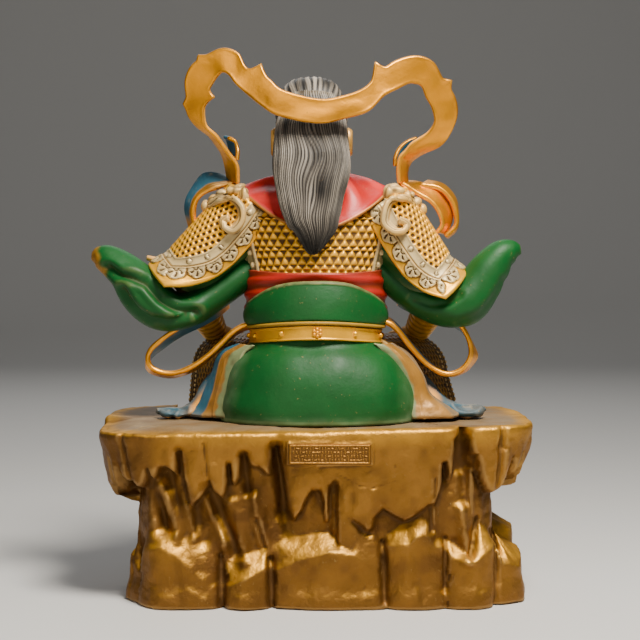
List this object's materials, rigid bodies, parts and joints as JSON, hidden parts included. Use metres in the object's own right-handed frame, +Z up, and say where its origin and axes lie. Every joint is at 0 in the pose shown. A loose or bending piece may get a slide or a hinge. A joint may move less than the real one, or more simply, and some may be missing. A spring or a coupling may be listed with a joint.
{
  "type": "seated deity statue",
  "caption": "Seated armoured deity with long loose hair on a gilded rock plinth, with a scarf arching behind the head.",
  "frame": {"origin": "on the plinth's underside, below the middle of the figure", "axes": "+Z up, the figure looks along -Y and its own left hand is on the +X side"},
  "size_m": [0.3263, 0.182, 0.3996],
  "materials": {
    "antique_gilding": "worn antique gold over cast rock, brown in the hollows and dusty on top",
    "green_enamel": "semi-gloss green paint with fine chips and rubbed edges",
    "scarf_gold": "warm gold paint with rubbed brown edges",
    "red_enamel": "semi-gloss red paint, rubbed pale on the folds",
    "blue_enamel": "dull blue paint with dust and gold rubbed through",
    "armour_gold": "bright gold scale relief with dark brown wash in the recesses",
    "silvered_trim": "pale silver-cream paint with brown wash",
    "hair_black": "black paint worn warm grey on the ridges"
  },
  "bodies": {
    "root": {"plinth": "antique_gilding", "figure": "green_enamel", "scarf": "scarf_gold"}
  },
  "joints": []
}
